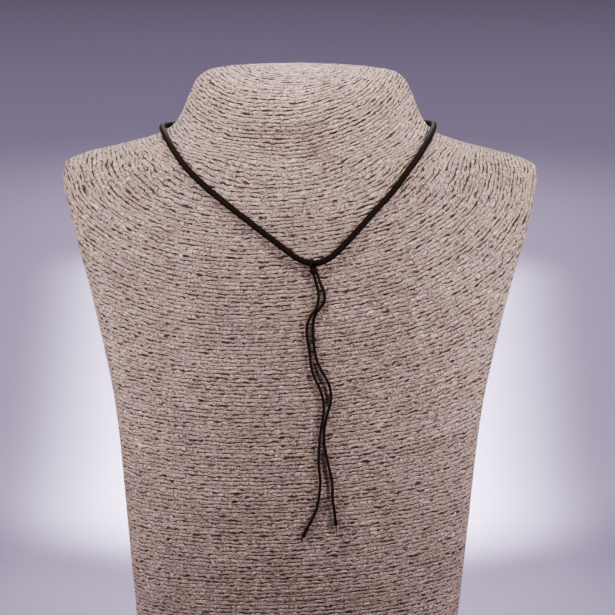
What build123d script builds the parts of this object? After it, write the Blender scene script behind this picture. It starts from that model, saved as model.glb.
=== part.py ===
from build123d import *
from collections import namedtuple
from math import radians, tan
import os

# A black cord necklace lying in a V on a neck bust wound with twine.
# The bust stands on the plane Z = 0 and faces -Y; X runs across the shoulders.

# Driving dimensions of the bust, in mm
bust_height = 306.0
shoulder_width = 250.0
front_depth = 57.0
back_depth = 45.0
side_radius = 31.0

# Driving dimensions of the necklace, in mm
neck_cord_diameter = 3.3
thin_cord_diameter = 1.6
wrap_clearance = 0.1
knot_height = 2.9
knot_belly_diameter = 4.3
knot_face_diameter = 3.5
sealed_end_diameter = 2.1
left_sealed_length = 6.8
left_thread_length = 2.6
right_sealed_length = 4.0
right_thread_length = 2.8
thread_diameter = 0.7
clasp_length = 14.0
clasp_diameter = 6.0
clasp_edge_radius = 0.8

# Where the hitch holds the neck cord, as a share of the cord's length from the clasp's left end
hitch_share = 0.5138

# The bust's level sections, from the base to the domed top of the neck. A level is a share of the
# height, a width of the shoulder width, front and back of their depths, and side of the side radius.
# They lie closer where the outline bends: at the shoulder's edge, the neck's root and the top.
Section = namedtuple("Section", "level width front back side")
bust_sections = [
    Section(0.000, 0.682, 0.877, 0.933, 0.935),
    Section(0.131, 0.713, 0.933, 0.948, 0.957),
    Section(0.261, 0.743, 0.976, 0.963, 0.981),
    Section(0.392, 0.777, 1.000, 0.978, 1.000),
    Section(0.458, 0.804, 1.000, 0.987, 0.996),
    Section(0.523, 0.838, 1.000, 0.996, 0.984),
    Section(0.605, 0.884, 0.998, 1.000, 0.962),
    Section(0.670, 0.926, 0.958, 0.992, 0.926),
    Section(0.735, 0.966, 0.895, 0.978, 0.871),
    Section(0.771, 0.989, 0.847, 0.959, 0.823),
    Section(0.804, 1.000, 0.798, 0.933, 0.774),
    Section(0.819, 0.997, 0.779, 0.922, 0.758),
    Section(0.832, 0.991, 0.763, 0.911, 0.742),
    Section(0.840, 0.962, 0.754, 0.900, 0.722),
    Section(0.848, 0.910, 0.746, 0.889, 0.710),
    Section(0.855, 0.848, 0.740, 0.883, 0.710),
    Section(0.861, 0.784, 0.737, 0.878, 0.710),
    Section(0.874, 0.660, 0.737, 0.867, 0.806),
    Section(0.881, 0.608, 0.737, 0.867, 0.862),
    Section(0.887, 0.573, 0.737, 0.867, 0.903),
    Section(0.897, 0.542, 0.741, 0.867, 0.944),
    Section(0.908, 0.519, 0.746, 0.867, 0.968),
    Section(0.928, 0.494, 0.733, 0.864, 0.958),
    Section(0.948, 0.474, 0.698, 0.856, 0.919),
    Section(0.966, 0.455, 0.619, 0.823, 0.839),
    Section(0.979, 0.437, 0.525, 0.778, 0.729),
    Section(0.987, 0.415, 0.435, 0.721, 0.613),
    Section(0.994, 0.384, 0.321, 0.644, 0.452),
    Section(0.997, 0.342, 0.251, 0.568, 0.355),
    Section(1.000, 0.296, 0.165, 0.489, 0.226),
]

# The neck cord's route, from the clasp's left face round the neck, down to the V and back
neck_route = [
    (-7.0, 48.5, 270.5), (-15.0, 48.5, 270.5), (-29.0, 46.0, 270.5), (-45.0, 41.0, 271.0),
    (-59.4, 34.2, 272.2), (-69.6, 22.4, 273.2), (-73.3, 7.2, 273.8), (-71.6, -9.5, 273.0),
    (-67.2, -24.4, 266.7), (-59.5, -33.8, 257.0), (-50.5, -36.5, 248.5), (-39.5, -40.5, 240.0),
    (-28.5, -44.0, 232.0), (-17.5, -47.0, 224.0), (-8.0, -50.0, 217.2), (0.0, -51.5, 211.3),
    (9.0, -52.0, 209.6), (17.2, -50.5, 213.5), (25.0, -47.5, 221.3), (32.5, -44.5, 229.5),
    (40.0, -41.0, 237.5), (48.0, -38.0, 246.0), (55.5, -34.5, 256.0), (62.5, -28.0, 265.0),
    (67.5, -14.5, 272.7), (70.1, 2.5, 276.1), (69.0, 18.0, 275.5), (60.6, 31.6, 274.0),
    (45.5, 40.0, 272.2), (29.5, 45.8, 271.0), (15.0, 48.5, 270.5), (7.0, 48.5, 270.5),
]

# The tails' routes, from the knot down the chest
left_tail_route = [
    (7.1, -51.0, 204.8), (8.1, -51.0, 201.6), (9.2, -51.0, 197.5), (10.2, -51.9, 192.5),
    (8.6, -52.8, 186.5), (5.2, -53.0, 182.0), (3.6, -52.8, 176.5), (4.3, -52.5, 170.5),
    (5.6, -52.5, 164.0), (6.0, -52.5, 157.5), (7.8, -52.4, 151.0), (11.2, -52.2, 144.5),
    (13.2, -52.0, 137.0), (12.8, -52.5, 129.5), (11.3, -52.6, 121.5), (10.7, -52.0, 113.0),
    (10.5, -51.8, 104.5), (11.8, -51.4, 96.0), (11.0, -51.0, 88.0), (10.1, -50.6, 81.5),
    (8.0, -50.4, 76.6), (5.6, -50.3, 72.0),
]
right_tail_route = [
    (8.7, -51.0, 205.3), (9.7, -51.0, 202.1), (11.2, -51.0, 198.5), (13.3, -51.4, 194.0),
    (12.7, -51.6, 189.0), (8.6, -51.8, 184.8), (7.0, -51.9, 179.5), (7.2, -52.2, 172.5),
    (7.9, -52.4, 165.5), (9.2, -52.2, 159.0), (12.6, -52.0, 152.5), (16.1, -51.8, 146.5),
    (17.1, -51.6, 139.5), (15.0, -51.8, 132.0), (13.3, -51.9, 124.0), (13.1, -51.8, 117.0),
    (14.6, -51.4, 109.0), (16.5, -51.0, 101.5), (18.0, -50.5, 94.0), (17.8, -50.2, 86.5),
    (19.0, -49.8, 80.4), (19.4, -49.6, 76.0),
]


def oval_face(half_width, front, back, radius, centre_y, height):
    """A level oval of four tangent arcs: one across the front, one across the back and one at each side."""
    side_x = half_width - radius

    def wide_arc(depth):
        """Radius of the wide arc that reaches depth, and the point where it runs into the side arc."""
        wide = (side_x**2 + depth**2 - radius**2) / (2 * (depth - radius))
        share = wide / (wide - radius)
        return Vector(side_x * share, wide - depth - (wide - depth) * share)

    front_join = wide_arc(front)
    back_join = wide_arc(back)
    front_right = (front_join.X, centre_y + front_join.Y, height)
    front_left = (-front_join.X, centre_y + front_join.Y, height)
    back_right = (back_join.X, centre_y - back_join.Y, height)
    back_left = (-back_join.X, centre_y - back_join.Y, height)
    edges = [
        ThreePointArc(front_left, (0, centre_y - front, height), front_right),
        ThreePointArc(front_right, (half_width, centre_y, height), back_right),
        ThreePointArc(back_right, (0, centre_y + back, height), back_left),
        ThreePointArc(back_left, (-half_width, centre_y, height), front_left),
    ]
    return Face(Wire(edges))


def neck_bust():
    """The bust's closed outer form, lofted through its level sections."""
    # The origin lies half way between the front and the back
    centre_y = (front_depth - back_depth) / 2
    faces = [
        oval_face(
            section.width * shoulder_width / 2,
            section.front * front_depth,
            section.back * back_depth,
            section.side * side_radius,
            centre_y,
            section.level * bust_height,
        )
        for section in bust_sections
    ]
    return loft(faces, ruled=True)


def corner_radii(points):
    """The largest arc that each corner's two runs allow."""
    radii = []
    for before, corner, after in zip(points, points[1:], points[2:]):
        turn = (corner - before).get_angle(after - corner)
        shorter = min((corner - before).length, (after - corner).length)
        radii.append(0.45 * shorter / tan(radians(turn) / 2))
    return radii


def route_path(route):
    """Straight runs joined by tangent arcs, through the points of a route."""
    points = [Vector(*point) for point in route]
    return FilletPolyline(*points, radius=corner_radii(points))


def cord_tube(name, route, diameter):
    """A round cord along its route."""
    path = route_path(route)
    start = Plane(origin=path @ 0, z_dir=path % 0)
    tube = sweep(start * Circle(diameter / 2), path=path)
    radii = corner_radii([Vector(*point) for point in route])
    section_area = Circle(diameter / 2).area
    print(f"{name}: length {path.length:.1f}, volume over section times length "
          f"{tube.volume / (section_area * path.length):.4f}, smallest radius {min(radii):.1f}")
    print("  radii", [round(radius, 1) for radius in radii])
    return tube


def barrel(profile):
    """A solid turned round Z from a half profile of (radius, height) points."""
    return revolve(Plane.XZ * make_face(Polyline(*profile, close=True)), axis=Axis.Z)


def centre_knot():
    """The thin cord's wrap round the neck cord, and the overhand knot under it that both tails leave."""
    path = route_path(neck_route)
    ring_radius = neck_cord_diameter / 2 + wrap_clearance + thin_cord_diameter / 2
    ring_plane = Plane(origin=path @ hitch_share, z_dir=path % hitch_share)
    ring = ring_plane * Torus(ring_radius, thin_cord_diameter / 2)

    left_start, left_next = (Vector(*point) for point in left_tail_route[:2])
    right_start = Vector(*right_tail_route[0])
    face_radius = knot_face_diameter / 2
    belly_radius = knot_belly_diameter / 2
    half_profile = [
        (0, 0),
        (face_radius, 0),
        (belly_radius, knot_height * 0.3),
        (belly_radius, knot_height * 0.7),
        (face_radius * 0.8, knot_height),
        (0, knot_height),
    ]
    knot_plane = Plane(origin=(left_start + right_start) / 2, z_dir=left_start - left_next)
    knot = knot_plane * barrel(half_profile)
    return ring + knot


def tail_end(route, sealed_length, thread_length):
    """The thicker sealed end of a tail, in line with its last run, with a fine thread out of its tip."""
    last, before = Vector(*route[-1]), Vector(*route[-2])
    sealed_radius = sealed_end_diameter / 2
    thread_radius = thread_diameter / 2
    shoulder = (sealed_end_diameter - thread_diameter) / 2
    half_profile = [
        (0, 0),
        (thin_cord_diameter / 2, 0),
        (sealed_radius, shoulder / 2),
        (sealed_radius, sealed_length - shoulder),
        (thread_radius, sealed_length),
        (thread_radius, sealed_length + thread_length),
        (0, sealed_length + thread_length),
    ]
    return Plane(origin=last, z_dir=last - before) * barrel(half_profile)


def back_clasp():
    """A plain barrel closure behind the neck, between the two ends of the neck cord."""
    left_face = Vector(*neck_route[0])
    right_face = Vector(*neck_route[-1])
    middle = Plane(origin=(left_face + right_face) / 2, z_dir=right_face - left_face)
    body = Cylinder(clasp_diameter / 2, clasp_length)
    body = fillet(body.edges().filter_by(GeomType.CIRCLE), clasp_edge_radius)
    return middle * body


parts = {
    "neck_bust": neck_bust(),
    "neck_cord": cord_tube("neck_cord", neck_route, neck_cord_diameter),
    "centre_knot": centre_knot(),
    "left_tail": cord_tube("left_tail", left_tail_route, thin_cord_diameter),
    "right_tail": cord_tube("right_tail", right_tail_route, thin_cord_diameter),
    "left_tail_end": tail_end(left_tail_route, left_sealed_length, left_thread_length),
    "right_tail_end": tail_end(right_tail_route, right_sealed_length, right_thread_length),
    "back_clasp": back_clasp(),
}

os.makedirs("parts", exist_ok=True)
for name, shape in parts.items():
    export_step(shape, f"parts/{name}.step")
    print(name, "volume", round(shape.volume, 2))
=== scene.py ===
# %% [markdown]
# # A black cord necklace on a twine-wound neck bust
# The part's solids come packed as a frame: a plain bust, a round cord, two thin tails, a knot, two
# tail ends and a clasp, all in metres and already in place. This script gives them the looks of the
# real things. It works out each new surface as a whole numpy array, and wraps it in materials whose
# patterns have real sizes. Lengths below are written in millimetres and multiplied by MM.

# %% The frame
import bpy
import numpy as np
from mathutils import Matrix, Vector


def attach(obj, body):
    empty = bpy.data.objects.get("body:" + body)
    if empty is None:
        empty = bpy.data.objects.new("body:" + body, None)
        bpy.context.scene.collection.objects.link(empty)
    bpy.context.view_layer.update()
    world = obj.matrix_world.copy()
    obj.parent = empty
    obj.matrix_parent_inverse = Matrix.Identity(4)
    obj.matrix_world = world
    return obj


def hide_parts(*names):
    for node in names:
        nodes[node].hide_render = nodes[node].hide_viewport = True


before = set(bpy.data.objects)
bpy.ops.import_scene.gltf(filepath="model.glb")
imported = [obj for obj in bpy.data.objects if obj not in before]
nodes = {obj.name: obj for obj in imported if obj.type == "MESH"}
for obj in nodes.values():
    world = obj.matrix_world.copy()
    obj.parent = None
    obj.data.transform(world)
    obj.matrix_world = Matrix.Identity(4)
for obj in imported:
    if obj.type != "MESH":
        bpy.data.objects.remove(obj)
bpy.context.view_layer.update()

MM = 0.001
print("frame nodes:", sorted(nodes))

# %% [markdown]
# ## The camera
# The picture was taken from almost two metres away, from a little higher than the bust, with a long
# lens. From that far the bust's two sides hardly converge. A camera in Blender looks along its own
# -Z, so its turn is built from three arrows: right, up and back. A small roll tips the picture, as a
# camera held by hand does.

# %% The camera
TARGET = Vector((4.2, 6.0, 178.0)) * MM
DISTANCE = 1900 * MM
LOOK_DOWN = np.radians(9.0)
ROLL = np.radians(0.45)
SENSOR = 36.0
FOCAL_SHARE = 5.829  # focal length over picture width


def place_camera():
    """Stands the camera DISTANCE from TARGET, looking down by LOOK_DOWN, and rolls it by ROLL."""
    forward = Vector((0, np.cos(LOOK_DOWN), -np.sin(LOOK_DOWN)))
    level_right = Vector((1, 0, 0))
    level_up = level_right.cross(forward)
    right = level_right * np.cos(ROLL) + level_up * np.sin(ROLL)
    up = right.cross(forward)
    data = bpy.data.cameras.new("studio_camera")
    data.sensor_width = SENSOR
    data.lens = SENSOR * FOCAL_SHARE
    data.clip_end = 50
    camera = bpy.data.objects.new("studio_camera", data)
    turn = Matrix((right, up, -forward)).transposed().to_4x4()
    camera.matrix_world = Matrix.Translation(TARGET - forward * DISTANCE) @ turn
    bpy.context.scene.collection.objects.link(camera)
    bpy.context.scene.camera = camera
    print("camera lens", round(data.lens, 1), "mm, at", [round(v, 3) for v in camera.location])


place_camera()

# %% [markdown]
# ## Colours, nodes and meshes
# A few small helpers do the repeated work. Colours are written as sRGB hex values, because that is
# how a colour picker shows them, and are turned to the linear values that a shader needs. Three
# functions start a material, add a shader node with its settings and links, and mix two colours. One
# eases a change in and out. One turns a grid of points into a mesh: the points come as an array of
# rows and columns, and each face joins four neighbours.

# %% Helpers for colours, nodes and grids
def eased(share):
    """A share, kept from 0 to 1, that starts and stops gently: 3 times its square less 2 its cube."""
    share = np.clip(share, 0, 1)
    return share * share * (3 - 2 * share)


def linear(hex_colour):
    """An sRGB hex value as linear RGBA: each channel through the standard sRGB curve."""
    channels = np.array([int(hex_colour[i:i + 2], 16) for i in (1, 3, 5)]) / 255
    curved = np.where(channels <= 0.04045, channels / 12.92, ((channels + 0.055) / 1.055) ** 2.4)
    return (*curved, 1.0)


def add(tree, kind, inputs=None, **settings):
    """Adds a node. An input is a value, a node (its first output is linked) or (node, output name)."""
    made = tree.nodes.new(kind)
    for name, value in settings.items():
        setattr(made, name, value)
    for socket, value in (inputs or {}).items():
        if isinstance(value, bpy.types.Node):
            tree.links.new(value.outputs[0], made.inputs[socket])
        elif isinstance(value, tuple) and isinstance(value[0], bpy.types.Node):
            tree.links.new(value[0].outputs[value[1]], made.inputs[socket])
        else:
            made.inputs[socket].default_value = value
    return made


def blank_material(name):
    """A new material without nodes, and its node tree."""
    material = bpy.data.materials.new(name)
    material.use_nodes = True
    material.node_tree.nodes.clear()
    return material, material.node_tree


def mix(tree, share, first, second, blend_type="MIX"):
    """Two colours mixed, first * (1 - share) + second * share, or multiplied. Gives (node, output)."""
    mixer = add(tree, "ShaderNodeMix", {0: share, 6: first, 7: second}, data_type="RGBA",
                blend_type=blend_type)
    return mixer, 2


def grid_faces(rows, columns):
    """Corner numbers of the quads between neighbouring rows of a grid whose columns close in a ring."""
    row, column = np.meshgrid(np.arange(rows - 1), np.arange(columns), indexing="ij")
    following = (column + 1) % columns
    corners = (row * columns + column, row * columns + following,
               (row + 1) * columns + following, (row + 1) * columns + column)
    return np.stack(corners, axis=-1).reshape(-1, 4)


def ring_mesh(name, points, marks, close_first=True, close_last=True, inside_out=False):
    """A smooth mesh through rings of points (rings, columns, 3). marks is its UV map in real units,
    (rings - 1, 2, columns + 1, 2): for each band of faces, the values along its two rings."""
    rings, columns = points.shape[:2]
    faces = grid_faces(rings, columns)
    corner_marks = np.stack([marks[:, 0, :-1], marks[:, 0, 1:], marks[:, 1, 1:], marks[:, 1, :-1]], axis=2)
    corner_marks = corner_marks.reshape(-1, 4, 2)
    if inside_out:
        faces, corner_marks = faces[:, ::-1], corner_marks[:, ::-1]
    ends = []
    if close_first:
        ends.append(np.arange(columns)[::-1])
    if close_last:
        ends.append(np.arange((rings - 1) * columns, rings * columns))
    if inside_out:
        ends = [end[::-1] for end in ends]
    face_list = faces.tolist() + [end.tolist() for end in ends]
    all_marks = np.concatenate([corner_marks.reshape(-1, 2), np.zeros((len(ends) * columns, 2))])
    mesh = bpy.data.meshes.new(name)
    mesh.from_pydata(points.reshape(-1, 3).tolist(), [], face_list)
    mesh.polygons.foreach_set("use_smooth", np.ones(len(face_list), dtype=bool))
    mesh.uv_layers.new(name="worked")
    mesh.uv_layers["worked"].uv.foreach_set("vector", all_marks.astype(np.float32).ravel())
    mesh.update()
    piece = bpy.data.objects.new(name, mesh)
    bpy.context.scene.collection.objects.link(piece)
    print(name, "triangles", sum(len(face) - 2 for face in face_list))
    return piece


# %% [markdown]
# ## Cords as lines
# A cord is settled by its middle line first. A NURBS spline takes the route's points as control
# points and runs smoothly past them, as cord that has some body does. Blender turns the spline into a
# line of close points, and every tube, strand and knot below follows such a line.

# %% A smooth line from a route
SPLINE_ORDER, SPLINE_STEPS = 3, 40


def smooth_line(route):
    """The points of a NURBS spline whose control points are the route's (in mm), in metres."""
    curve = bpy.data.curves.new("route", "CURVE")
    curve.dimensions = "3D"
    spline = curve.splines.new("NURBS")
    spline.points.add(len(route) - 1)
    spline.points.foreach_set("co", np.c_[np.array(route) * MM, np.ones(len(route))].ravel())
    spline.order_u = SPLINE_ORDER
    spline.use_endpoint_u = True
    spline.resolution_u = SPLINE_STEPS
    holder = bpy.data.objects.new("route", curve)
    bpy.context.scene.collection.objects.link(holder)
    mesh = bpy.data.meshes.new_from_object(holder)
    line = np.empty(len(mesh.vertices) * 3)
    mesh.vertices.foreach_get("co", line)
    bpy.data.objects.remove(holder)
    bpy.data.curves.remove(curve)
    bpy.data.meshes.remove(mesh)
    return line.reshape(-1, 3)


def distances(line):
    """How far along the line each point lies: the steps between points, added up."""
    return np.r_[0, np.cumsum(np.linalg.norm(np.diff(line, axis=0), axis=1))]


def evenly(line, step):
    """The line again, with points every step along it."""
    far = distances(line)
    wanted = np.linspace(0, far[-1], int(np.ceil(far[-1] / step)) + 1)
    return np.stack([np.interp(wanted, far, line[:, axis]) for axis in range(3)], axis=1)


def arrows(line):
    """For each station of the line its direction and two arrows square to it. Each station's first
    arrow is the last station's, made square to the new direction, so the arrows never spin."""
    ahead = np.gradient(line, axis=0)
    ahead /= np.linalg.norm(ahead, axis=1, keepdims=True)
    sideways = np.empty_like(ahead)
    arrow = np.cross(ahead[0], np.eye(3)[np.argmin(abs(ahead[0]))])
    for station, direction in enumerate(ahead):
        arrow = arrow - direction * (arrow @ direction)
        arrow /= np.linalg.norm(arrow)
        sideways[station] = arrow
    return ahead, sideways, np.cross(ahead, sideways)


def tube(name, line, radius, sides):
    """A closed tube: a ring of points round each station of the line. radius has one value a station,
    or one a station and side. Its UV map is millimetres along the line and turns round it."""
    ahead, sideways, upright = arrows(line)
    turn = np.arange(sides) / sides * 2 * np.pi
    around = np.cos(turn)[:, None] * sideways[:, None] + np.sin(turn)[:, None] * upright[:, None]
    radius = np.asarray(radius, float)
    points = line[:, None] + around * (radius if radius.ndim == 2 else radius[:, None])[..., None]
    far = np.repeat(distances(line)[:, None] / MM, sides + 1, axis=1)
    turns = np.broadcast_to(np.arange(sides + 1) / sides, far.shape)
    grid = np.stack([far, turns], axis=-1)
    return ring_mesh(name, points, np.stack([grid[:-1], grid[1:]], axis=1))


# %% [markdown]
# ## The neck cord
# The thick cord is braided: fine yarns run round it both ways and pass over and under each other, so
# its skin is a net of small raised cells. The route's points are listed, as in the part's source. The
# relief of the braid is a product of two waves that climb the cord in opposite screws: where both
# crest, a cell stands up. The cord is dense and nearly black, and its cells catch light.

# %% The neck cord's route and braid
NECK_ROUTE = [
    (-7.0, 48.5, 270.5), (-15.0, 48.5, 270.5), (-29.0, 46.0, 270.5), (-45.0, 41.0, 271.0),
    (-59.4, 34.2, 272.2), (-69.6, 22.4, 273.2), (-73.3, 7.2, 273.8), (-71.6, -9.5, 273.0),
    (-67.2, -24.4, 266.7), (-59.5, -33.8, 257.0), (-50.5, -36.5, 248.5), (-39.5, -40.5, 240.0),
    (-28.5, -44.0, 232.0), (-17.5, -47.0, 224.0), (-8.0, -50.0, 217.2), (0.0, -51.5, 211.3),
    (9.0, -52.0, 209.6), (17.2, -50.5, 213.5), (25.0, -47.5, 221.3), (32.5, -44.5, 229.5),
    (40.0, -41.0, 237.5), (48.0, -38.0, 246.0), (55.5, -34.5, 256.0), (62.5, -28.0, 265.0),
    (67.5, -14.5, 272.7), (70.1, 2.5, 276.1), (69.0, 18.0, 275.5), (60.6, 31.6, 274.0),
    (45.5, 40.0, 272.2), (29.5, 45.8, 271.0), (15.0, 48.5, 270.5), (7.0, 48.5, 270.5),
]
NECK_CORD_DIAMETER = 3.3 * MM
BRAID_CELLS = 8
BRAID_STEP = 1.5 * MM
BRAID_DEPTH = 0.13 * MM
NECK_SPACING, NECK_SIDES = 0.3 * MM, 40


def braided_radius(line, sides):
    """The radius at each station and side: waves that climb in opposite screws, multiplied, cut in."""
    far = distances(line)[:, None] / BRAID_STEP * np.pi
    turn = np.arange(sides)[None] / sides * np.pi * BRAID_CELLS
    cell = abs(np.cos((turn + far) / 2) * np.cos((turn - far) / 2)) ** 0.5
    return NECK_CORD_DIAMETER / 2 - BRAID_DEPTH * (1 - cell)


neck_line = evenly(smooth_line(NECK_ROUTE), NECK_SPACING)
neck_cord = tube("neck_cord_braid", neck_line, braided_radius(neck_line, NECK_SIDES), NECK_SIDES)
print("neck cord length", round(distances(neck_line)[-1] / MM, 1), "mm")

# %% [markdown]
# ## The tails
# The thin cord is waxed and laid from three yarns, so shallow grooves wind round it like a screw. Its
# tails have hung and been handled: they keep soft bends, close and part again on the way down.

# %% The tails' routes and lay
LEFT_TAIL_ROUTE = [
    (7.1, -51.0, 204.8), (8.1, -51.0, 201.6), (9.2, -51.0, 197.5), (10.2, -51.9, 192.5),
    (8.6, -52.8, 186.5), (5.2, -53.0, 182.0), (3.6, -52.8, 176.5), (4.3, -52.5, 170.5),
    (5.6, -52.5, 164.0), (6.0, -52.5, 157.5), (7.8, -52.4, 151.0), (11.2, -52.2, 144.5),
    (13.2, -52.0, 137.0), (12.8, -52.5, 129.5), (11.3, -52.6, 121.5), (10.7, -52.0, 113.0),
    (10.5, -51.8, 104.5), (11.8, -51.4, 96.0), (11.0, -51.0, 88.0), (10.1, -50.6, 81.5),
    (8.0, -50.4, 76.6), (5.6, -50.3, 72.0),
]
RIGHT_TAIL_ROUTE = [
    (8.7, -51.0, 205.3), (9.7, -51.0, 202.1), (11.2, -51.0, 198.5), (13.3, -51.4, 194.0),
    (12.7, -51.6, 189.0), (8.6, -51.8, 184.8), (7.0, -51.9, 179.5), (7.2, -52.2, 172.5),
    (7.9, -52.4, 165.5), (9.2, -52.2, 159.0), (12.6, -52.0, 152.5), (16.1, -51.8, 146.5),
    (17.1, -51.6, 139.5), (15.0, -51.8, 132.0), (13.3, -51.9, 124.0), (13.1, -51.8, 117.0),
    (14.6, -51.4, 109.0), (16.5, -51.0, 101.5), (18.0, -50.5, 94.0), (17.8, -50.2, 86.5),
    (19.0, -49.8, 80.4), (19.4, -49.6, 76.0),
]
THIN_CORD_DIAMETER = 1.6 * MM
YARNS = 3
LAY_LENGTH = 3.0 * MM
LAY_DEPTH = 0.10 * MM
TAIL_SPACING, TAIL_SIDES = 0.2 * MM, 18


def laid_radius(line, sides):
    """The radius at each station and side of a cord laid from YARNS yarns, one turn per LAY_LENGTH:
    half the diameter, less a groove that is deepest where two yarns meet."""
    far = distances(line)[:, None] / LAY_LENGTH * 2 * np.pi
    turn = np.arange(sides)[None] / sides * 2 * np.pi
    groove = 1 - abs(np.sin((turn * YARNS + far * YARNS) / 2))
    return THIN_CORD_DIAMETER / 2 - LAY_DEPTH * groove ** 2


tails, tail_lines = {}, {}
for side, route in (("left", LEFT_TAIL_ROUTE), ("right", RIGHT_TAIL_ROUTE)):
    tail_lines[side] = evenly(smooth_line(route), TAIL_SPACING)
    laid = laid_radius(tail_lines[side], TAIL_SIDES)
    tails[side] = tube(side + "_tail_cord", tail_lines[side], laid, TAIL_SIDES)
    print(side, "tail length", round(distances(tail_lines[side])[-1] / MM, 1), "mm")

# %% [markdown]
# ## The knot
# The thin cord goes once over the thick cord, and its two legs are crossed round each other below it
# in a tight half knot before they part as the tails. So it is one strand: up one leg of a short
# double screw, round the thick cord in a ring, and down the other leg, half a turn behind the first.
# The screw swells in its middle, as a pulled knot does.

# %% The strand of the knot
KNOT_FOOT = np.array([7.9, -51.0, 205.05]) * MM
KNOT_UP = np.array([-0.298, 0.0, 0.9546])
KNOT_ACROSS = np.array([0.9546, 0.0, 0.298])
DEEPER = np.array([0.0, 1.0, 0.0])
KNOT_TURNS = 0.9
KNOT_RISE = 2.3 * MM
LEG_SPREAD = 0.82 * MM
KNOT_SWELL = 0.95 * MM
KNOT_LEAN = 0.5 * MM  # how far the knot's middle leans to the viewer's left
WRAP_MIDDLE = np.array([6.1, -51.8, 210.25]) * MM
WRAP_RADIUS = 1.85 * MM
WRAP_REACH = 0.3844  # how far the ring goes to each side of its top, in turns
WRAP_SLANT = 0.5 * MM
LEG_POINTS, WRAP_POINTS = 9, 11
KNOT_SPACING, KNOT_SIDES = 0.12 * MM, 20


def knot_leg(start):
    """One leg of the double screw, from the foot up: a helix round KNOT_UP that swells halfway. start
    is its first place round the screw, in turns."""
    share = np.linspace(0, 1, LEG_POINTS)[:, None]
    angle = 2 * np.pi * (start + KNOT_TURNS * share)
    spread = LEG_SPREAD + KNOT_SWELL * np.sin(np.pi * share) ** 2
    return (KNOT_FOOT + KNOT_UP * KNOT_RISE * share - KNOT_ACROSS * KNOT_LEAN * np.sin(np.pi * share)
            + spread * (np.cos(angle) * KNOT_ACROSS + np.sin(angle) * DEEPER))


def wrap_ring():
    """The ring round the thick cord: from in front below, over the top, to behind below."""
    angle = np.linspace(-1, 1, WRAP_POINTS)[:, None] * 2 * np.pi * WRAP_REACH
    across = np.array([1.0, 0.0, 0.0]) * WRAP_SLANT * np.sin(angle / 2)
    ring = np.cos(angle) * np.array([0, 0, 1.0]) + np.sin(angle) * DEEPER
    return WRAP_MIDDLE + across + WRAP_RADIUS * ring


left_leg, right_leg = knot_leg(0.5), knot_leg(0.0)
knot_route = np.concatenate([left_leg, wrap_ring(), right_leg[::-1]]) / MM
knot_line = evenly(smooth_line(knot_route.tolist()), KNOT_SPACING)
knot = tube("centre_knot_strand", knot_line, laid_radius(knot_line, KNOT_SIDES), KNOT_SIDES)
print("knot strand length", round(distances(knot_line)[-1] / MM, 1), "mm")

# %% [markdown]
# ## The tails' ends
# The cord's cut ends were dipped and pressed, so each swells a little before its blunt tip, and one
# fine core yarn hangs out of it. Each is a tube whose radius follows a short profile along its line.

# %% The tails' ends
END_SHAPES = {
    "left": dict(route=[(5.6, -50.3, 72.0), (4.4, -50.25, 69.6), (3.0, -50.2, 66.8),
                        (2.3, -50.1, 65.4), (2.2, -50.1, 64.5), (2.3, -50.1, 63.6)], sealed=6.8),
    "right": dict(route=[(19.4, -49.6, 76.0), (19.7, -49.5, 74.0), (19.95, -49.4, 72.3),
                         (20.05, -49.4, 71.1), (20.1, -49.35, 70.2), (20.15, -49.3, 69.2)], sealed=4.0),
}
SEALED_DIAMETER = 2.1 * MM
THREAD_DIAMETER = 0.7 * MM
SWELL_SHARE = 0.35  # the share of the sealed length over which the cord swells
SHOULDER = 0.9 * MM  # the length over which the lump rounds in to the thread
TIP = 0.25 * MM
LUMPS, LUMP_SCREW, LUMP_LENGTH = 0.05, 0.5 * MM, 0.8 * MM
END_SPACING, END_SIDES = 0.1 * MM, 18


def end_radius(far, sealed, sides):
    """Radius along an end: from the cord's to the sealed lump's, round in to the thread's. Two slow
    waves round and along it make it uneven."""
    swell = eased(far / (SWELL_SHARE * sealed))
    radius = (THIN_CORD_DIAMETER + (SEALED_DIAMETER - THIN_CORD_DIAMETER) * swell) / 2
    past = np.clip((far - sealed + SHOULDER) / SHOULDER, 0, 1)
    radius = THREAD_DIAMETER / 2 + (radius - THREAD_DIAMETER / 2) * np.sqrt(1 - past ** 2)
    turn = np.arange(sides) / sides * 2 * np.pi
    waves = np.sin(3 * turn[None] + far[:, None] / LUMP_SCREW) * np.sin(far[:, None] / LUMP_LENGTH)
    tip = np.clip((far[-1] - far) / TIP, 0.05, 1) ** 0.5
    return (radius * tip)[:, None] * (1 + LUMPS * waves)


tail_ends = {}
for side, shape in END_SHAPES.items():
    line = evenly(smooth_line(shape["route"]), END_SPACING)
    radius = end_radius(distances(line), shape["sealed"] * MM, END_SIDES)
    tail_ends[side] = tube(side + "_tail_sealed_end", line, radius, END_SIDES)

# %% [markdown]
# ## The clasp
# Behind the neck the cord's two ends are glued into a barrel closure. It is a turned part, so a
# profile of radius along its axis gives the collars at the ends and the seam in the middle, and two
# bands of shallow flutes, cut as waves round the barrel, give the fingers a grip.

# %% The clasp
CLASP_MIDDLE = np.array([0.0, 48.5, 270.5]) * MM
CLASP_LENGTH = 14.0 * MM
CLASP_RADIUS = 3.0 * MM
ROUNDING = 0.8 * MM
SEAM_DEPTH, SEAM_WIDTH = 0.3 * MM, 0.18 * MM
COLLAR_AT, COLLAR_STEP = 4.9 * MM, 0.2 * MM  # the step's place from the middle, and its depth and width
BAND_FROM, BAND_TO, BAND_EDGE = 0.9 * MM, 4.4 * MM, 0.08 * MM
FLUTES = 28
FLUTE_DEPTH = 0.16 * MM
CLASP_STATIONS, CLASP_SIDES = 141, 140


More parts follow.
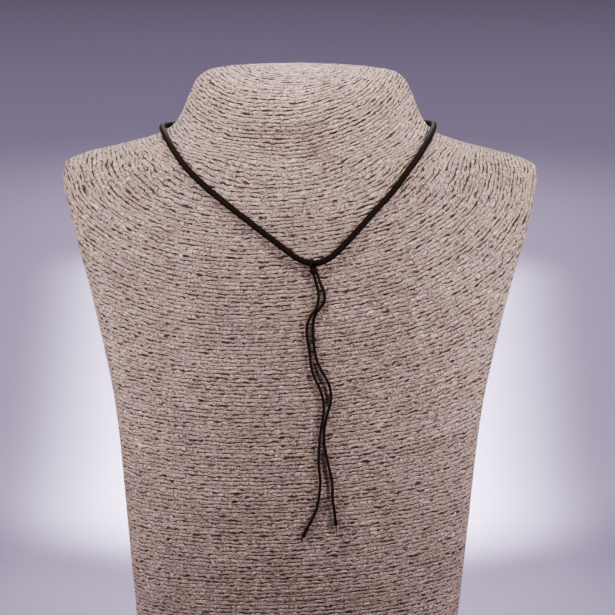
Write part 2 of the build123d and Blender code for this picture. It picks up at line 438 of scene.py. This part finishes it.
def clasp_radius(along, sides):
    """The barrel's radius at each place along it: rounded ends, a seam groove in the middle, a step
    before each collar, and flutes on the two bands between."""
    out = abs(along)
    past = np.clip((out - CLASP_LENGTH / 2 + ROUNDING) / ROUNDING, 0, 1)
    rounded = CLASP_RADIUS - ROUNDING * (1 - np.sqrt(1 - past ** 2))
    seam = SEAM_DEPTH * np.exp(-(along / SEAM_WIDTH) ** 2)
    step = COLLAR_STEP * np.exp(-((out - COLLAR_AT) / COLLAR_STEP) ** 2)
    band = 1 / (1 + np.exp(-(out - BAND_FROM) / BAND_EDGE)) / (1 + np.exp((out - BAND_TO) / BAND_EDGE))
    flute = FLUTE_DEPTH * (0.5 - 0.5 * np.cos(np.arange(sides) / sides * 2 * np.pi * FLUTES))
    return (rounded - seam - step)[:, None] - band[:, None] * flute[None]


to_its_end = np.array([CLASP_LENGTH / 2, 0, 0])
clasp_line = np.linspace(-1, 1, CLASP_STATIONS)[:, None] * to_its_end + CLASP_MIDDLE
clasp = tube("back_clasp_barrel", clasp_line, clasp_radius(clasp_line[:, 0], CLASP_SIDES), CLASP_SIDES)

# %% [markdown]
# ## The bust's form
# Under the twine is a plain form. Its level sections are ovals of four arcs, given in a short table
# as in the part's source. Between two sections every size follows a smooth curve that never swings
# past its neighbours, so that the shoulders stay crisp and the chest stays even.

# %% The bust's sections
HEIGHT, HALF_WIDTH, FRONT, BACK, SIDE = 306.0, 125.0, 57.0, 45.0, 31.0
MIDDLE_Y = (FRONT - BACK) / 2
# level, width, front, back and side, as shares of the sizes above
SECTIONS = np.array([
    (0.000, 0.682, 0.877, 0.933, 0.935), (0.196, 0.729, 0.956, 0.956, 0.968),
    (0.392, 0.777, 1.000, 0.978, 1.000), (0.588, 0.874, 1.000, 1.000, 0.968),
    (0.735, 0.966, 0.895, 0.978, 0.871), (0.804, 1.000, 0.798, 0.933, 0.774),
    (0.832, 0.991, 0.763, 0.911, 0.742), (0.848, 0.910, 0.746, 0.889, 0.710),
    (0.861, 0.784, 0.737, 0.878, 0.710), (0.874, 0.660, 0.737, 0.867, 0.806),
    (0.887, 0.573, 0.737, 0.867, 0.903), (0.908, 0.519, 0.746, 0.867, 0.968),
    (0.928, 0.494, 0.733, 0.864, 0.958), (0.948, 0.474, 0.698, 0.856, 0.919),
    (0.966, 0.455, 0.619, 0.823, 0.839), (0.979, 0.437, 0.525, 0.778, 0.729),
    (0.987, 0.415, 0.435, 0.721, 0.613), (0.994, 0.384, 0.321, 0.644, 0.452),
    (0.997, 0.342, 0.251, 0.568, 0.355), (1.000, 0.296, 0.165, 0.489, 0.226),
]) * (HEIGHT, HALF_WIDTH, FRONT, BACK, SIDE)


def between_sections(level):
    """Half width, front, back and side radius at each level: cubic pieces whose slope at a section is
    the weighted harmonic mean of the slopes on its two sides, or none where they differ in sign."""
    known, sizes = SECTIONS[:, 0], SECTIONS[:, 1:]
    gap = np.diff(known)[:, None]
    slope = np.diff(sizes, axis=0) / gap
    above, under = gap[1:], gap[:-1]
    safe = np.where(slope, slope, 1)
    mean = 3 * (under + above) / ((2 * above + under) / safe[:-1] + (above + 2 * under) / safe[1:])
    inner = np.where(slope[:-1] * slope[1:] > 0, mean, 0)
    tangent = np.concatenate([slope[:1], inner, slope[-1:]])
    at = np.clip(np.searchsorted(known, level) - 1, 0, len(known) - 2)
    wide = gap[at, 0]
    share = ((level - known[at]) / wide)[..., None]
    wide = wide[..., None]
    found = ((1 + 2 * share) * (1 - share) ** 2 * sizes[at]
             + share * (1 - share) ** 2 * wide * tangent[at]
             + share ** 2 * (3 - 2 * share) * sizes[at + 1]
             - share ** 2 * (1 - share) * wide * tangent[at + 1])
    return np.moveaxis(found, -1, 0)


def oval_depth(x, half_width, depth, side):
    """How far the oval reaches forward at x: a wide arc in the middle, tangent to a side arc."""
    side_x = half_width - side
    wide = (side_x ** 2 + depth ** 2 - side ** 2) / (2 * (depth - side))
    join = side_x * wide / (wide - side)
    middle = depth - wide + np.sqrt(np.maximum(wide ** 2 - x ** 2, 0))
    rounded = np.sqrt(np.maximum(side ** 2 - np.maximum(x - side_x, 0) ** 2, 0))
    return np.where(x < join, middle, rounded)


def bust_points(level, shrink, angle):
    """Points of the form, in mm. angle turns from the front's middle (0) past the wearer's left side,
    a quarter, to the back. shrink draws the top section in towards its middle, to close the form."""
    half_width, front, back, side = between_sections(level)
    x = half_width * np.sin(angle)
    forward = oval_depth(abs(x), half_width, front, side)
    backward = oval_depth(abs(x), half_width, back, side)
    y = MIDDLE_Y + shrink * np.where(np.cos(angle) > 0, -forward, backward)
    return np.stack([shrink * x, y, np.broadcast_to(level, x.shape)], axis=-1)


# %% [markdown]
# ## How the twine lies
# The twine is glued on in one long spiral that starts at the middle of the top, and each turn touches
# the last. So every turn lies at the same distance from the start, measured over the surface: on
# the shoulders the turns cross the ridge straight, then swing round into the chest. The distance is
# found as water would spread: each place takes the least of its neighbours' distances plus the step
# from them, again and again over the whole array, until nothing changes.
#
# Below the shoulders a winder packs the turns tighter at the sides, so that they level out towards the
# base. There the distance is the front middle's own, plus a lag that grows from the middle to the
# side and fades on the way down. Lastly the turns rise a little to the wearer's left, most at the top.

# %% Distance from the top's middle, over the surface
TWINE_PITCH = 2.1
SIDE_LAG, LAG_TOP, LAG_FADE, DISH = 85.0, 270.0, 59.0, 2.35
BLEND_DEPTH = 35.0  # mm below LAG_TOP over which the winder's order takes over
EASE_HEIGHT = 150.0
RISE_BASE, RISE_TOP, RISE_POWER, RISE_FADE = 0.064, 0.14, 3.2, 30.0
CAP_RINGS, BODY_LEVELS, HALF_COLUMNS = 14, 280, 97
REACH, MOST_SWEEPS = 3, 400
SMOOTHING_PASSES = 4


def spreading_levels():
    """Levels from the top down, closer where the outline turns, so that steps over the surface are even."""
    fine = np.linspace(HEIGHT, 0, 3001)
    half_width, front = between_sections(fine)[:2]
    run = np.r_[0, np.cumsum(np.sqrt(np.diff(half_width) ** 2 + np.diff(front) ** 2 + np.diff(fine) ** 2))]
    return np.interp(np.linspace(0, run[-1], BODY_LEVELS), run, fine)


ring_level = np.r_[np.full(CAP_RINGS, HEIGHT), spreading_levels()]
ring_shrink = np.r_[np.linspace(0.02, 1, CAP_RINGS, endpoint=False), np.ones(BODY_LEVELS)]
half_angle = np.linspace(0, np.pi, HALF_COLUMNS)
form = bust_points(ring_level[:, None], ring_shrink[:, None], half_angle[None])


def spread_distance(points):
    """Distance from the first ring's middle to every point of the grid, by steps in every direction
    within REACH rows and columns, repeated until it settles."""
    start = points[0].mean(axis=0)
    far = np.full(points.shape[:2], np.inf)
    far[0] = np.linalg.norm(points[0] - start, axis=1)
    rows, columns = points.shape[:2]

    def reached(step, size):
        """The stretch of a side of the grid that a step along it can reach."""
        return slice(max(step, 0), size + min(step, 0))

    spans = range(-REACH, REACH + 1)
    windows = []
    for down, across in [(down, across) for down in spans for across in spans if np.gcd(down, across) == 1]:
        to = reached(down, rows), reached(across, columns)
        origin = reached(-down, rows), reached(-across, columns)
        windows.append((to, origin, np.linalg.norm(points[to] - points[origin], axis=-1)))
    for sweep in range(MOST_SWEEPS):
        before = far.copy()
        for to, origin, length in windows:
            far[to] = np.minimum(far[to], far[origin] + length)
        if np.array_equal(before, far):
            break
    print("distance settled after", sweep, "sweeps")
    return far


twine_distance = spread_distance(form)
for _ in range(SMOOTHING_PASSES):
    padded = np.pad(twine_distance, ((0, 0), (1, 1)), mode="reflect")
    twine_distance = (padded[:, :-2] + 2 * padded[:, 1:-1] + padded[:, 2:]) / 4
lag = SIDE_LAG * np.exp((np.minimum(ring_level, LAG_TOP) - LAG_TOP) / LAG_FADE)[:, None]
middle = np.where(np.cos(half_angle) > 0, twine_distance[:, :1], twine_distance[:, -1:])
levelled = middle + (twine_distance[:, :1] + lag - middle) * np.sin(half_angle) ** DISH
below = eased((LAG_TOP - ring_level) / BLEND_DEPTH)[:, None]
twine_distance = twine_distance * (1 - below) + levelled * below
# the last turns follow the base's edge, so the distance is eased to one value along it
edge = twine_distance[-1]
ease = np.clip((EASE_HEIGHT - ring_level) / EASE_HEIGHT, 0, 1)[:, None] ** 2
twine_distance = twine_distance + (edge.mean() - edge) * ease
rise = RISE_BASE + RISE_TOP * (ring_level / HEIGHT) ** RISE_POWER
rise = rise * (1 - np.clip(1 - ring_level / RISE_FADE, 0, 1) ** 2)
TURNS = int(round(edge.mean() / TWINE_PITCH))
turn_number = twine_distance * TURNS / edge.mean()
turn_rise = rise * TURNS / edge.mean()
print("turns of twine:", TURNS, "edge spread", round(float(np.ptp(edge)), 1), "mm")

# %% [markdown]
# ## The wound surface
# Now the turns can be drawn. Down every column of the form, the place of each turn is read off the
# distances. Six rings of points make one turn: one in the groove and five over the round of the
# twine, sunk below the form's outer skin as a circle would be. Hand-spun twine is uneven, so smooth
# random numbers, the same on each run, shift the grooves and thin the twine a little.

# %% Rings of points over the twine
FRONT_COLUMNS, BACK_COLUMNS = 260, 110
ACROSS = np.array([0.0, 0.1, 0.28, 0.5, 0.72, 0.9])
CREST_RING = 3  # the ring on the crest, where ACROSS is a half
ROUNDNESS = 0.96  # how nearly the twine's outer side is a half circle: 1 would be exactly one
GROOVE_DEPTH = 0.7
GROOVE_WANDER, WANDER_WAVES = 0.2, ((0.65, 90), (0.35, 23))  # each wave's share and number of knots
TWINE_THINNING, THINNING_KNOTS = 0.22, 110
FIRST_TURN, LEAST_STEP = 0.3, 1e-4  # where the wound rows start and how close they may come, in turns
rng = np.random.default_rng(11)
angle = np.r_[np.linspace(-np.pi / 2, np.pi / 2, FRONT_COLUMNS, endpoint=False),
              np.linspace(np.pi / 2, 3 * np.pi / 2, BACK_COLUMNS, endpoint=False)]
from_front = np.arccos(np.cos(angle))


def uneven(rows, knots):
    """Smooth random numbers round each row, from -1 to 1: a random value at each knot and a cosine
    ease between knots. The first knot comes again at the end, so the row closes."""
    value = rng.uniform(-1, 1, (rows, knots))
    place = np.arange(len(angle)) / len(angle) * knots
    at = place.astype(int)
    share = 0.5 - 0.5 * np.cos((place - at) * np.pi)
    return value[:, at] * (1 - share) + value[:, (at + 1) % knots] * share


groove_shift = GROOVE_WANDER * sum(part * uneven(TURNS + 1, knots) for part, knots in WANDER_WAVES)
groove_shift[[0, -1]] = 0
thinning = TWINE_THINNING * (0.5 + 0.5 * uneven(TURNS, THINNING_KNOTS))

turn = np.arange(TURNS)[:, None, None]
share = ACROSS[None, :, None]
wanted = turn + share + groove_shift[:-1, None] * (1 - share) + groove_shift[1:, None] * share
wanted = np.concatenate([wanted.reshape(TURNS * len(ACROSS), -1), np.full((1, len(angle)), float(TURNS))])
wanted = np.maximum(wanted, FIRST_TURN + np.arange(len(wanted))[:, None] * LEAST_STEP)

column_turns = np.stack([np.interp(from_front, half_angle, row) for row in turn_number])
sideways = bust_points(ring_level[:, None], ring_shrink[:, None], angle[None])[..., 0]
column_turns += turn_rise[:, None] * sideways
ring_index = np.stack([np.interp(wanted[:, column], column_turns[:, column], np.arange(len(ring_level)))
                       for column in range(len(angle))], axis=1)
level = np.interp(ring_index, np.arange(len(ring_level)), ring_level)
shrink = np.interp(ring_index, np.arange(len(ring_level)), ring_shrink)
skin = bust_points(level, shrink, angle[None])

round_section = 1 - np.sqrt(1 - (2 * ACROSS - 1) ** 2 * ROUNDNESS)
sink = GROOVE_DEPTH * round_section[None, :, None] + thinning[:, None] * (1 - round_section[None, :, None])
sink = np.concatenate([sink.reshape(TURNS * len(ACROSS), -1), np.zeros((1, len(angle)))])
around = np.roll(skin, -1, axis=1) - np.roll(skin, 1, axis=1)
downward = np.gradient(skin, axis=0)
inward = np.cross(around, downward)
inward /= np.maximum(np.linalg.norm(inward, axis=-1, keepdims=True), 1e-9)
wound = (skin + inward * sink[..., None]) * MM
wound[..., 2] = np.maximum(wound[..., 2], 0)
print("wound surface points:", wound.shape, "lowest", wound[..., 2].min(), "deepest groove", sink.max())

# %% [markdown]
# The UV map is the twine's own measure: millimetres along the turn, from the front's middle, and the
# turn's number across it. A pattern drawn on it follows the twine wherever it runs. At the shoulders'
# ends the turns run down beside the columns of points, not across them, so every point adds its lead:
# how far it lies ahead of the turn's crest, measured along the turn. The surface is cut into bands of
# turns, each a piece of a size that any program can read.

# %% Bands of twine
BANDS = 5
middle_column = int(np.argmin(abs(angle)))
crest = wound[CREST_RING::len(ACROSS)]
step_along = np.linalg.norm(np.diff(np.concatenate([crest, crest[:, :1]], axis=1), axis=1), axis=-1) / MM
along = np.concatenate([np.zeros((TURNS, 1)), np.cumsum(step_along, axis=1)], axis=1)
along -= along[:, middle_column][:, None]
across_marks = np.concatenate([(turn + share).reshape(-1), [TURNS]])
ahead = np.roll(crest, -1, axis=1) - np.roll(crest, 1, axis=1)
ahead /= np.linalg.norm(ahead, axis=-1, keepdims=True)


def along_ring(ring, its_turn):
    """Millimetres along its_turn of every point of a ring, the first point again at the end."""
    lead = ((wound[ring] - crest[its_turn]) * ahead[its_turn]).sum(axis=-1) / MM
    return along[its_turn] + np.concatenate([lead, lead[:, :1]], axis=1)


edges = np.linspace(0, TURNS, BANDS + 1).astype(int)
bands = []
for number, (top, bottom) in enumerate(zip(edges[:-1], edges[1:]), 1):
    rings = slice(top * len(ACROSS), bottom * len(ACROSS) + 1)
    upper = np.arange(rings.start, rings.stop - 1)
    across_here = across_marks[rings]
    marks = np.empty((len(upper), 2, len(angle) + 1, 2))
    marks[:, 0, :, 0] = along_ring(upper, upper // len(ACROSS))
    marks[:, 1, :, 0] = along_ring(upper + 1, upper // len(ACROSS))
    marks[:, 0, :, 1] = across_here[:-1, None]
    marks[:, 1, :, 1] = across_here[1:, None]
    bands.append(ring_mesh(f"twine_band_{number}", wound[rings], marks,
                           close_first=number == 1, close_last=number == BANDS, inside_out=True))

# %% [markdown]
# ## Jute twine
# Jute is a matt plant fibre, pinkish beige when bleached by light. Two soft yarns are twisted into
# the twine, so slanting valleys cross every turn. The groove between two turns is nearly closed where
# they touch. Where it gapes the light can't get in, and a short dark dash shows. The material is drawn
# in the twine's own measure: the whole part of V is the turn's number, the rest of V is the place
# across the turn.

# %% Jute twine material
YARN_CROSSING = 4.4  # mm along the twine from one yarn's valley to the next
TURN_WAVER = 1.3  # how far the turns bend aside, in turns, times the noise's swing
FIBRES_ALONG = 0.75  # fibre streaks per mm
FIBRES_ACROSS = 4.4  # fibre streaks per turn
LOOSE_AT_TOP = 0.11  # how much more the first, tightly bent turns gape, on the noise's scale


def jute_twine():
    """The twine's material: fibre colour by streaks, times tone and tint, darkened in the grooves."""
    material, tree = blank_material("jute_twine")

    def calculate(operation, *values):
        """One step of arithmetic on values or nodes."""
        return add(tree, "ShaderNodeMath", dict(enumerate(values)), operation=operation)

    def ramp(value, low, high, at_low, at_high):
        """From at_low to at_high, gently, as value goes from low to high."""
        return add(tree, "ShaderNodeMapRange", {"Value": value, "From Min": low, "From Max": high,
                                                "To Min": at_low, "To Max": at_high},
                   interpolation_type="SMOOTHSTEP")

    def noise(along, across, scale, detail, roughness=0.5):
        """Smooth noise over a plane whose two measures run along and across the twine."""
        place = add(tree, "ShaderNodeCombineXYZ", {"X": along, "Y": across})
        return add(tree, "ShaderNodeTexNoise", {"Vector": place, "Scale": scale, "Detail": detail,
                                                "Roughness": roughness})

    mark = add(tree, "ShaderNodeUVMap", uv_map="worked")
    parts = add(tree, "ShaderNodeSeparateXYZ", {0: mark})
    millimetres, true_turns = (parts, "X"), (parts, "Y")

    # twine wound by hand wavers, so the pattern's turns bend a little to each side of the true ones
    bend = noise(calculate("MULTIPLY", millimetres, 0.2), true_turns, 0.9, 1.0)
    wavered = calculate("MULTIPLY", calculate("SUBTRACT", bend, 0.5), TURN_WAVER)
    turns = calculate("ADD", true_turns, wavered)
    turn = calculate("FLOOR", turns)
    across = calculate("FRACT", turns)
    nearest_groove = calculate("ROUND", turns)

    # every turn starts its pattern at a place of its own
    turn_chance = add(tree, "ShaderNodeTexWhiteNoise", {"W": turn}, noise_dimensions="1D")
    along_turn = calculate("MULTIPLY_ADD", turn_chance, 40.0, millimetres)
    groove_chance = add(tree, "ShaderNodeTexWhiteNoise", {"W": nearest_groove}, noise_dimensions="1D")
    along_groove = calculate("MULTIPLY_ADD", groove_chance, 70.0, millimetres)

    # the valleys between the two yarns, slanting; uneven spinning makes them wander
    wander = noise(along_turn, turn, 0.16, 1.0)
    wandered = calculate("MULTIPLY_ADD", wander, 10.0, along_turn)
    crossing = calculate("MULTIPLY_ADD", wandered, 1 / YARN_CROSSING, across)
    yarn = calculate("ABSOLUTE", calculate("SINE", calculate("MULTIPLY", crossing, np.pi)))

    # the groove between turns: nearly closed where the turns touch, wide and dark in short dashes
    from_groove = calculate("SUBTRACT", 0.5, calculate("ABSOLUTE", calculate("SUBTRACT", across, 0.5)))
    loose = ramp(true_turns, 6.0, 40.0, LOOSE_AT_TOP, 0.0)
    dash = calculate("ADD", noise(along_groove, nearest_groove, 0.3, 1.5), loose)
    dash_half = ramp(dash, 0.33, 0.62, 0.03, 0.13)
    groove = ramp(calculate("SUBTRACT", dash_half, from_groove), -0.06, 0.02, 0.0, 1.0)
    groove_shade = calculate("MULTIPLY", groove, ramp(dash, 0.32, 0.50, 0.26, 1.0))
    valley_shade = calculate("MULTIPLY", ramp(yarn, 0.0, 0.3, 1.0, 0.0),
                             ramp(from_groove, 0.08, 0.46, 0.6, 0.12))
    shade = calculate("MAXIMUM", groove_shade, valley_shade)

    # fibres lie along the twine; turns and patches differ a little in tone
    streak = noise(calculate("MULTIPLY", wandered, FIBRES_ALONG),
                   calculate("MULTIPLY", turns, FIBRES_ACROSS), 1.0, 2.0, 0.6)
    place = add(tree, "ShaderNodeTexCoord")
    patch = add(tree, "ShaderNodeTexNoise", {"Vector": (place, "Object"), "Scale": 60.0, "Detail": 2.0})
    light = calculate("MULTIPLY", ramp(patch, 0.3, 0.7, 0.84, 1.04),
                      calculate("MULTIPLY_ADD", turn_chance, 0.14, 0.88))
    fibre = mix(tree, ramp(streak, 0.39, 0.66, 0.0, 1.0), linear("#765F5E"), linear("#FFE1D5"))
    toned = mix(tree, 1.0, fibre, light, "MULTIPLY")
    bleaching = add(tree, "ShaderNodeTexNoise", {"Vector": (place, "Object"), "Scale": 75.0, "Detail": 1.0})
    tint = mix(tree, ramp(bleaching, 0.4, 0.62, 0.0, 1.0), linear("#F5EBE9"), linear("#F5EEE2"))
    tinted = mix(tree, 1.0, toned, tint, "MULTIPLY")
    colour = mix(tree, shade, tinted, linear("#35241D"))

    # relief: the two yarns stand up from their valleys, and fibres from the yarns
    yarn_relief = calculate("MULTIPLY", calculate("POWER", yarn, 0.6), 0.65)
    relief = calculate("MULTIPLY_ADD", streak, 0.7, yarn_relief)
    bump = add(tree, "ShaderNodeBump", {"Strength": 1.0, "Distance": 0.3 * MM, "Height": relief})
    surface = add(tree, "ShaderNodeBsdfPrincipled", {
        "Base Color": colour, "Roughness": ramp(streak, 0.3, 0.7, 0.78, 0.95), "Normal": bump,
        "IOR": 1.5, "Specular IOR Level": 0.3})
    add(tree, "ShaderNodeOutputMaterial", {"Surface": surface})
    return material


twine = jute_twine()
for band in bands:
    band.data.materials.append(twine)

# %% [markdown]
# ## Cords and clasp
# The neck cord is braided from polyester filament dyed black: nearly black, with a low silky sheen
# where its cells face the light. The thin cord is waxed polyester, a little smoother. Its ends were
# melted and pressed, so they are smoother still and mottled. One recipe makes all three, with the
# colour, roughness and size of the filament bump as its inputs. The closure is steel, turned and then
# darkened, and the tool's marks run round it.

# %% Cord and clasp materials
def dyed_polyester(name, dark, light, rough, filament, relief):
    """Dyed polyester: two near tones mixed by fine noise, which also makes the relief, relief mm high.
    filament gives the noise's scale along the cord (per mm) and round it (per turn)."""
    material, tree = blank_material(name)
    mark = add(tree, "ShaderNodeUVMap", uv_map="worked")
    place = add(tree, "ShaderNodeVectorMath", {0: mark, 1: (*filament, 1.0)}, operation="MULTIPLY")
    noise = add(tree, "ShaderNodeTexNoise", {"Vector": place, "Scale": 1.0, "Detail": 3.0,
                                             "Roughness": 0.6})
    tone = mix(tree, noise, linear(dark), linear(light))
    roughness = add(tree, "ShaderNodeMapRange", {"Value": noise, "From Min": 0.3, "From Max": 0.7,
                                                 "To Min": rough - 0.08, "To Max": rough + 0.08})
    bump = add(tree, "ShaderNodeBump", {"Strength": 1.0, "Distance": relief * MM, "Height": noise})
    surface = add(tree, "ShaderNodeBsdfPrincipled", {
        "Base Color": tone, "Roughness": roughness, "Normal": bump, "IOR": 1.54,
        "Specular IOR Level": 0.07, "Specular Tint": linear("#FFD8C4")})
    add(tree, "ShaderNodeOutputMaterial", {"Surface": surface})
    return material


braided_cord = dyed_polyester("braided_polyester_cord", "#070504", "#1A1412", 0.7, (2.2, 14.0), 0.05)
waxed_cord = dyed_polyester("waxed_polyester_cord", "#0D0908", "#251C1A", 0.6, (1.2, 9.0), 0.03)
melted_end = dyed_polyester("melted_polyester_end", "#0A0706", "#281D19", 0.5, (0.9, 4.0), 0.06)


def turned_steel():
    """Darkened steel: noise drawn out round the barrel makes the tool's lines, slow noise the smears."""
    material, tree = blank_material("turned_steel_darkened")
    mark = add(tree, "ShaderNodeUVMap", uv_map="worked")
    lathe = add(tree, "ShaderNodeVectorMath", {0: mark, 1: (9.0, 0.8, 1.0)}, operation="MULTIPLY")
    lines = add(tree, "ShaderNodeTexNoise", {"Vector": lathe, "Scale": 1.0, "Detail": 3.0})
    smear = add(tree, "ShaderNodeTexNoise", {"Vector": mark, "Scale": 0.7, "Detail": 2.0})
    tone = mix(tree, smear, linear("#55534F"), linear("#8A8883"))
    both = add(tree, "ShaderNodeMath", {0: lines, 1: smear}, operation="ADD")
    rough = add(tree, "ShaderNodeMapRange", {"Value": both, "From Min": 0.7, "From Max": 1.3,
                                             "To Min": 0.28, "To Max": 0.46})
    bump = add(tree, "ShaderNodeBump", {"Strength": 1.0, "Distance": 0.01 * MM, "Height": lines})
    surface = add(tree, "ShaderNodeBsdfPrincipled", {
        "Base Color": tone, "Metallic": 1.0, "Roughness": rough, "Normal": bump})
    add(tree, "ShaderNodeOutputMaterial", {"Surface": surface})
    return material


clasp.data.materials.append(turned_steel())
neck_cord.data.materials.append(braided_cord)
for thin in (*tails.values(), knot):
    thin.data.materials.append(waxed_cord)
for end in tail_ends.values():
    end.data.materials.append(melted_end)

# %% [markdown]
# ## What stands for what
# Each new piece takes the place of a solid of the frame, which is hidden, and rides on the one body.
# The neck cord runs from the clasp round to the clasp again, and the tails from the knot to their
# loose ends.

# %% Hiding the solids that the pieces stand for
def stand_for(piece, slot_name, *cad_names):
    """Hides the solids that the piece stands for and attaches the piece to the root body. slot_name is not
    used.
    """
    if cad_names:
        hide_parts(*cad_names)
    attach(piece, "root")


for band in bands:
    stand_for(band, "twine", "neck_bust")
stand_for(neck_cord, "thick_cord", "neck_cord")
stand_for(knot, "thin_cord", "centre_knot")
stand_for(clasp, "clasp", "back_clasp")
for side in tails:
    stand_for(tails[side], "thin_cord", side + "_tail")
    stand_for(tail_ends[side], "sealed_end", side + "_tail_end")

for side, tail in tails.items():
    line = tail_lines[side]

# %% [markdown]
# ## Floor and light
# The bust stands on a plain pale floor that runs far past the picture, so no edge shows. Small soft
# lamps light it: one low at each side in front, whose slanting light draws the twine's turns, a narrow
# one on the neck and one behind. The floor has lamps of its own. A very large one overhead gives it an
# even tone, and two long ones make it glow behind the bust, so that the cords and the bust's outline
# stand out. A pale surround fills the shadows.

# %% Floor, lamps and surround
def plain_floor(size, hex_colour):
    """One square face on the ground, size metres a side, of matt paper."""
    mesh = bpy.data.meshes.new("floor")
    corners = np.array([(-1, -1, 0), (1, -1, 0), (1, 1, 0), (-1, 1, 0)]) * size / 2
    mesh.from_pydata(corners.tolist(), [], [(0, 1, 2, 3)])
    material, tree = blank_material("matt_backdrop_paper")
    surface = add(tree, "ShaderNodeBsdfPrincipled", {"Base Color": linear(hex_colour), "Roughness": 0.9})
    add(tree, "ShaderNodeOutputMaterial", {"Surface": surface})
    mesh.materials.append(material)
    floor = bpy.data.objects.new("floor", mesh)
    bpy.context.scene.collection.objects.link(floor)


def softbox(name, place, size, watts, aim, spread):
    """An area lamp at place, in metres, turned towards aim. size is its width and depth. A grid
    narrows its light to spread degrees, so that little of it falls on the floor in front."""
    data = bpy.data.lights.new(name, "AREA")
    data.shape = "RECTANGLE"
    data.size, data.size_y = size
    data.energy = watts
    data.spread = np.radians(spread)
    lamp = bpy.data.objects.new(name, data)
    lamp.location = place
    lamp.rotation_euler = (Vector(place) - Vector(aim)).to_track_quat("Z", "Y").to_euler()
    bpy.context.scene.collection.objects.link(lamp)


plain_floor(40.0, "#C8B4E2")
softbox("left_softbox", (-0.62, -0.42, 0.55), (0.25, 0.25), 0.58, aim=(-0.18, 0, 0.225), spread=30)
softbox("right_softbox", (0.62, -0.42, 0.55), (0.25, 0.25), 0.6, aim=(0.18, 0, 0.23), spread=30)
softbox("neck_softbox", (0.0, -0.4, 0.9), (0.15, 0.15), 0.19, aim=(0, 0, 0.35), spread=13)
softbox("back_softbox", (0.0, 0.8, 0.75), (0.3, 0.3), 0.42, aim=(0, 0.05, 0.19), spread=24)
softbox("top_softbox", (0.0, 1.8, 4.0), (3.0, 3.0), 62, aim=(0, 1.8, 0), spread=180)
softbox("backdrop_softbox", (0.0, 0.72, 0.53), (0.1, 1.1), 18, aim=(0, 0.82, 0), spread=37)
softbox("far_backdrop_softbox", (0.0, 1.3, 0.8), (0.3, 1.5), 2.2, aim=(0, 1.3, 0), spread=72)
world = bpy.data.worlds.new("studio")
world.use_nodes = True
world.node_tree.nodes["Background"].inputs["Color"].default_value = linear("#EDE8EE")
world.node_tree.nodes["Background"].inputs["Strength"].default_value = 0.06
bpy.context.scene.world = world
